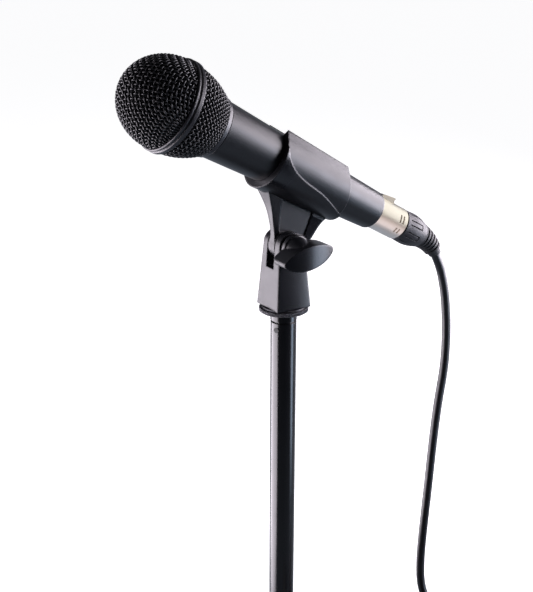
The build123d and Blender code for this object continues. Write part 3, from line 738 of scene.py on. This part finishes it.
def make_lead():
    """The lead in four pieces from the plug to the stand, cut at the heights in LEAD_CUTS."""
    line = nurbs_line(DROP_ROUTE + coil_points() + TAIL_ROUTE, LEAD_DETAIL)
    hanging = next(i for i, p in enumerate(line) if p.z < HANGS_ABOVE)
    cuts = [0]
    for height in LEAD_CUTS:
        cuts.append(min(range(hanging), key=lambda i: abs(line[i].z - height)))
    cuts.append(len(line) - 1)
    frames = ring_frames(line)
    names = ("lead_at_plug", "lead_at_clip", "lead_drop", "lead_and_coil")
    pieces = []
    for name, low, high in zip(names, cuts, cuts[1:]):
        vertices, faces = [], []
        stretch = line[low:high + 1]
        add_tube(vertices, faces, stretch, CABLE_D / 2, LEAD_SIDES, frames[low:high + 1])
        piece = mesh_object(name, vertices, faces, "cable_jacket")
        for polygon in piece.data.polygons:
            polygon.use_smooth = len(polygon.vertices) == 4
        pieces.append((piece, stretch))
    return pieces


def hang_lead(pieces):
    joints = (("microphone", "plug"), ("clip", "microphone"), ("holder", "clip"),
              ("stand", "holder"))
    for (piece, stretch), (low_body, high_body) in zip(pieces, joints):
        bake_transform(piece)
    for index, (piece, stretch) in enumerate(pieces):
        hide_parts("cable_drop")
    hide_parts("cable_coil", "cable_tail")


# ---------------------------------------------------------------- the coil's strap

STRAP_T = 0.0011
STRAP_W = 0.014
STRAP_ANGLE = math.radians(200)
STRAP_BEND = 0.0035
STRAP_BEND_STEPS = 6
STRAP_EDGE = 0.5
STRAP_WIDTHS = (-STRAP_EDGE, -0.46, -0.23, 0, 0.23, 0.46, STRAP_EDGE)


def make_strap():
    """Hook-and-loop strap round the coil's bundle, with its edges thinned."""
    half_width = COIL_WIDTH / 2 + STRAP_T / 2
    low, high = STRAP_T / 2, COIL_HEIGHT + STRAP_T / 2
    right, top, foot = half_width - STRAP_BEND, high - STRAP_BEND, low + STRAP_BEND
    centres = ((right, top, 0), (-right, top, 90), (-right, foot, 180), (right, foot, 270))
    loop = []
    for cx, cz, begin in centres:
        for step in range(STRAP_BEND_STEPS + 1):
            angle = math.radians(begin + 90 / STRAP_BEND_STEPS * step)
            loop.append((cx + STRAP_BEND * math.cos(angle), cz + STRAP_BEND * math.sin(angle)))
    out = Vector((math.cos(STRAP_ANGLE), math.sin(STRAP_ANGLE), 0))
    along = Vector((-out.y, out.x, 0))
    bundle = (COIL_RADII[0] + COIL_RADII[-1]) / 2
    middle = Vector((COIL_CENTRE.x, COIL_CENTRE.y, 0)) + out * bundle
    count = len(loop)
    vertices, faces = [], []
    for index, (x, z) in enumerate(loop):
        x0, z0 = loop[index - 1]
        x1, z1 = loop[(index + 1) % count]
        tangent = Vector((x1 - x0, z1 - z0)).normalized()
        normal = Vector((tangent.y, -tangent.x))
        for side in (1, -1):
            for width in STRAP_WIDTHS:
                thick = STRAP_T / 2 * (0.5 if abs(width) == STRAP_EDGE else 1.0)
                rise = Vector((0, 0, max(z + normal.y * side * thick, 0.0)))
                vertices.append(middle + out * (x + normal.x * side * thick)
                                + along * (width * STRAP_W) + rise)
    n = len(STRAP_WIDTHS)
    row = 2 * n
    for index in range(count):
        a, b = index * row, ((index + 1) % count) * row
        for k in range(n - 1):
            faces.append((a + k, b + k, b + k + 1, a + k + 1))
            faces.append((a + n + k + 1, b + n + k + 1, b + n + k, a + n + k))
        faces.append((a + n, b + n, b, a))
        faces.append((a + n - 1, b + n - 1, b + row - 1, a + row - 1))
    strap = mesh_object("coil_strap", vertices, faces, "tie_fabric")
    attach(strap, "stand")
    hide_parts("coil_tie")


# ---------------------------------------------------------------- woven grille

WIRE_SIDES = 8
SAMPLES_PER_CROSSING = 4
WAVE_SHARE = 0.97
BALL_DEPTH = BAND_FRONT - HEAD_TIP
NET_REACH = 19
NET_OVERRUN = 0.0015
WIRE_OVERRUN = 0.0002
NEWTON_STEPS = 12
MERIDIAN_STEP = 0.0001
PROFILE_STEPS = 400


def next_crossing(first, second, behind, radii):
    """Point on the ellipsoid one weave pitch from two neighbouring crossings."""
    point = first + second - behind
    wide, deep = radii[0] ** 2, radii[1] ** 2
    for _ in range(NEWTON_STEPS):
        gradients = [Vector((2 * point.x / wide, 2 * point.y / wide, 2 * point.z / deep)),
                     2 * (point - first), 2 * (point - second)]
        values = [(point.x ** 2 + point.y ** 2) / wide + point.z ** 2 / deep - 1,
                  (point - first).length_squared - WEAVE_PITCH ** 2,
                  (point - second).length_squared - WEAVE_PITCH ** 2]
        point = point - Matrix(gradients).inverted() @ Vector(values)
    return point


def meridian(radii, count, direction):
    """Crossings one pitch apart from the tip along one meridian of the ellipsoid."""
    points, angle = [], 0.0
    point = Vector((0, 0, -radii[1]))
    for _ in range(count + 1):
        points.append(point)
        while True:
            angle += MERIDIAN_STEP
            candidate = Vector((direction[0] * radii[0] * math.sin(angle),
                                direction[1] * radii[0] * math.sin(angle),
                                -radii[1] * math.cos(angle)))
            if (candidate - point).length >= WEAVE_PITCH:
                point = candidate
                break
    return points


def ball_net():
    """Crossings of a square weave drawn over the ball: (row, column) to a point, tip at (0, 0).

    Z runs along the microphone's axis towards the tail, from the ball's widest circle.
    """
    radii = (BALL_R - 2 * WIRE_R, BALL_DEPTH - 2 * WIRE_R)
    net = {}
    for sx in (1, -1):
        for sy in (1, -1):
            for i, point in enumerate(meridian(radii, NET_REACH, (sx, 0))):
                net[(sx * i, 0)] = point
            for j, point in enumerate(meridian(radii, NET_REACH, (0, sy))):
                net[(0, sy * j)] = point
            for i in range(1, NET_REACH + 1):
                for j in range(1, NET_REACH + 1):
                    x, y, back_x, back_y = sx * i, sy * j, sx * (i - 1), sy * (j - 1)
                    corner = ((back_x, y), (x, back_y), (back_x, back_y))
                    if all(key in net for key in corner):
                        first, second, behind = (net[key] for key in corner)
                        if max(first.z, second.z) < NET_OVERRUN:
                            net[(x, y)] = next_crossing(first, second, behind, radii)
    return net, radii


def catmull(p0, p1, p2, p3, t):
    """Point at share t between p1 and p2 on the smooth line through all four."""
    return 0.5 * ((2 * p1) + (p2 - p0) * t + (2 * p0 - 5 * p1 + 4 * p2 - p3) * t * t
                  + (3 * p1 - p0 - 3 * p2 + p3) * t ** 3)


def weave_wire(points, normals, signs):
    """A wire's line through its crossings, waving over and under the crossing wires."""
    line = []
    count = len(points)
    for index in range(count - 1):
        ends = [points[min(max(index + k, 0), count - 1)] for k in (-1, 0, 1, 2)]
        for step in range(SAMPLES_PER_CROSSING):
            t = step / SAMPLES_PER_CROSSING
            place = catmull(*ends, t)
            normal = normals[index].lerp(normals[index + 1], t).normalized()
            lift = signs[index] * math.cos(math.pi * t) * WIRE_R * WAVE_SHARE
            line.append(place + normal * lift)
    line.append(points[-1] + normals[-1] * signs[-1] * WIRE_R * WAVE_SHARE)
    return line


def make_front_weave():
    """Square weave over the ball's front half."""
    net, radii = ball_net()
    vertices, faces = [], []
    wide, deep = radii[0] ** 2, radii[1] ** 2
    for family, first_sign in ((0, 1), (1, -1)):
        for fixed in sorted({key[family] for key in net}):
            run = sorted(key for key in net if key[family] == fixed)
            points = [net[key] for key in run]
            normals = [Vector((p.x / wide, p.y / wide, p.z / deep)).normalized() for p in points]
            signs = [first_sign if sum(key) % 2 == 0 else -first_sign for key in run]
            line = [p for p in weave_wire(points, normals, signs) if p.z < WIRE_OVERRUN]
            if len(line) > 2:
                add_tube(vertices, faces, line, WIRE_R, WIRE_SIDES)
    cos_t, sin_t = math.cos(WEAVE_TURN), math.sin(WEAVE_TURN)
    rows = MIC_SIDE * cos_t + MIC_UP * sin_t
    columns = MIC_UP * cos_t - MIC_SIDE * sin_t
    centre = MIC_FOOT + MIC_AXIS * BAND_FRONT
    placed = [centre + rows * v.x + columns * v.y + MIC_AXIS * v.z for v in vertices]
    weave = mesh_object("grille_weave_front", placed, faces, "grille_wire")
    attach(weave, "grille")
    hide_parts("grille_front")


def rear_profile(share):
    """(station, radius) along the middle of the rear mesh, from the band to the collar."""
    start = Vector((BALL_R - BAND_INSET - 2 * WIRE_R, BAND_REAR))
    through = Vector((BULGE_R - 2 * WIRE_R, BULGE_AT))
    end = Vector((CONE_REAR_R - 2 * WIRE_R, CONE_REAR))
    # Quadratic curve through the three points.
    control = 2 * through - 0.5 * (start + end)
    point = start * (1 - share) ** 2 + control * 2 * share * (1 - share) + end * share ** 2
    return point.y, point.x


def make_rear_weave():
    """Diagonal weave: two families of helices that cross on common rings."""
    fine = [rear_profile(k / PROFILE_STEPS) for k in range(PROFILE_STEPS + 1)]
    # How far a wire has turned at each of those points, when it runs at 45 degrees.
    turned, angle = [0.0], 0.0
    for (s0, r0), (s1, r1) in zip(fine, fine[1:]):
        angle += math.hypot(s1 - s0, r1 - r0) / ((r0 + r1) / 2)
        turned.append(angle)
    ring_step = math.pi / REAR_WIRES
    vertices, faces = [], []
    samples = []
    total = turned[-1] / ring_step
    index = 0
    for k in range(int(total * SAMPLES_PER_CROSSING) + 1):
        crossing = k / SAMPLES_PER_CROSSING
        want = crossing * ring_step
        while turned[index + 1] < want:
            index += 1
        t = (want - turned[index]) / (turned[index + 1] - turned[index])
        (s0, r0), (s1, r1) = fine[index], fine[index + 1]
        slope = Vector((s1 - s0, r1 - r0)).normalized()
        samples.append((want, s0 + (s1 - s0) * t, r0 + (r1 - r0) * t, slope, crossing))
    for family in (1, -1):
        for wire in range(REAR_WIRES):
            line = []
            for spin, station, radius, slope, crossing in samples:
                lift = family * math.cos(math.pi * crossing) * WIRE_R * WAVE_SHARE
                around = 2 * math.pi * wire / REAR_WIRES + family * spin
                line.append(on_mic(station - slope.y * lift, radius + slope.x * lift, around))
            add_tube(vertices, faces, line, WIRE_R, WIRE_SIDES)
    weave = mesh_object("grille_weave_rear", vertices, faces, "grille_wire")
    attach(weave, "grille")
    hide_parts("grille_rear")


# ---------------------------------------------------------------- foam inside the grille

FOAM_GAP = 0.0023
FOAM_REAR_GAP = 0.0014
FOAM_REAR_SHARE = 0.97
FOAM_T = 0.0025
FOAM_SIDES = 96
FOAM_FRONT_STEPS = 24
FOAM_REAR_STEPS = 12
FOAM_TIP_RINGS = 20
FOAM_CELLS = (-0.00018, 0.00012)


def make_foam():
    """Foam liner: a thick shell inside the mesh with a slightly uneven, open-cell surface."""
    random.seed(7)
    outline = []
    outer_r, outer_d = BALL_R - FOAM_GAP, BALL_DEPTH - FOAM_GAP
    for k in range(FOAM_FRONT_STEPS + 1):
        angle = math.pi / 2 * k / FOAM_FRONT_STEPS
        outline.append((BAND_FRONT - outer_d * math.cos(angle), outer_r * math.sin(angle)))
    for k in range(1, FOAM_REAR_STEPS + 1):
        station, radius = rear_profile(k / FOAM_REAR_STEPS * FOAM_REAR_SHARE)
        outline.append((station, radius - FOAM_REAR_GAP))
    inner = [(station + (FOAM_T if i < FOAM_TIP_RINGS else 0), max(radius - FOAM_T, 0.0))
             for i, (station, radius) in enumerate(outline)]
    vertices, faces = [], []
    rings = outline[1:] + inner[::-1][:-1]
    for station, radius in rings:
        for corner in range(FOAM_SIDES):
            rough = random.uniform(*FOAM_CELLS)
            vertices.append(on_mic(station, max(radius + rough, 0.0001),
                                   2 * math.pi * corner / FOAM_SIDES))
    for ring in range(len(rings) - 1):
        for corner in range(FOAM_SIDES):
            after = (corner + 1) % FOAM_SIDES
            a, b = ring * FOAM_SIDES, (ring + 1) * FOAM_SIDES
            faces.append((a + corner, b + corner, b + after, a + after))
    outer_tip, inner_tip = len(vertices), len(vertices) + 1
    vertices += [on_mic(outline[0][0], 0, 0), on_mic(inner[0][0], 0, 0)]
    last = (len(rings) - 1) * FOAM_SIDES
    for corner in range(FOAM_SIDES):
        after = (corner + 1) % FOAM_SIDES
        faces.append((outer_tip, corner, after))
        faces.append((last + corner, inner_tip, last + after))
    liner = mesh_object("foam_lining", vertices, faces, "foam")
    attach(liner, "grille")
    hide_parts("foam_liner")


# ---------------------------------------------------------------- knurled lock ring

KNURL_TEETH = 128
KNURL_DEPTH = 0.00028
KNURL_LEAN = 2400
KNURL_SHARPNESS = 1.5
SIDES_PER_TOOTH = 6
RIM_ROWS = 8
RIM_FOOT = 0.0007
RIM_SHOULDER = 0.0011
LOCK_BORE = 0.00481


def make_lock_ring():
    """Locking ring with slanted knurling round its rim."""
    low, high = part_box("lock_ring")
    outer = (high.x - low.x) / 2
    bottom, top = low.z, high.z
    rim_low, rim_high = bottom + RIM_FOOT, top - RIM_SHOULDER
    rim = [(outer, rim_low + (rim_high - rim_low) * k / RIM_ROWS) for k in range(RIM_ROWS + 1)]
    # Radius and height along the ring's section, with its chamfers, from the bore outwards.
    outline = [(LOCK_BORE, bottom), (outer - 0.0014, bottom), (outer - 0.0009, bottom + 0.00015),
               (outer - 0.0002, rim_low - 0.0001)]
    outline += rim
    outline += [(outer - 0.0003, rim_high + 0.0002), (outer - 0.0007, rim_high + 0.0003),
                (outer - 0.0016, rim_high + 0.0003), (outer - 0.0016, top), (LOCK_BORE, top)]
    sides = KNURL_TEETH * SIDES_PER_TOOTH
    vertices, faces = [], []
    for radius, height in outline:
        knurled = (radius, height) in rim
        for corner in range(sides):
            angle = 2 * math.pi * corner / sides
            reach = radius
            if knurled:
                turn = KNURL_TEETH * angle + (height - rim_low) * KNURL_LEAN
                reach -= KNURL_DEPTH * (0.5 - 0.5 * math.cos(turn)) ** KNURL_SHARPNESS
            vertices.append(Vector((reach * math.cos(angle), reach * math.sin(angle), height)))
    count = len(outline)
    for ring in range(count):
        a, b = ring * sides, ((ring + 1) % count) * sides
        for corner in range(sides):
            after = (corner + 1) % sides
            faces.append((a + corner, a + after, b + after, b + corner))
    knurl = mesh_object("lock_ring_knurled", vertices, faces, "black_metal")
    for polygon in knurl.data.polygons:
        polygon.use_smooth = False
    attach(knurl, "lock_ring_body")
    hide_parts("lock_ring")


# ---------------------------------------------------------------- build

make_camera()
make_world()
make_lights()
make_floor()
dress_cad_nodes()
make_front_weave()
make_rear_weave()
make_foam()
make_lock_ring()
make_strap()
hang_lead(make_lead())

bpy.context.scene.view_settings.view_transform = "Standard"
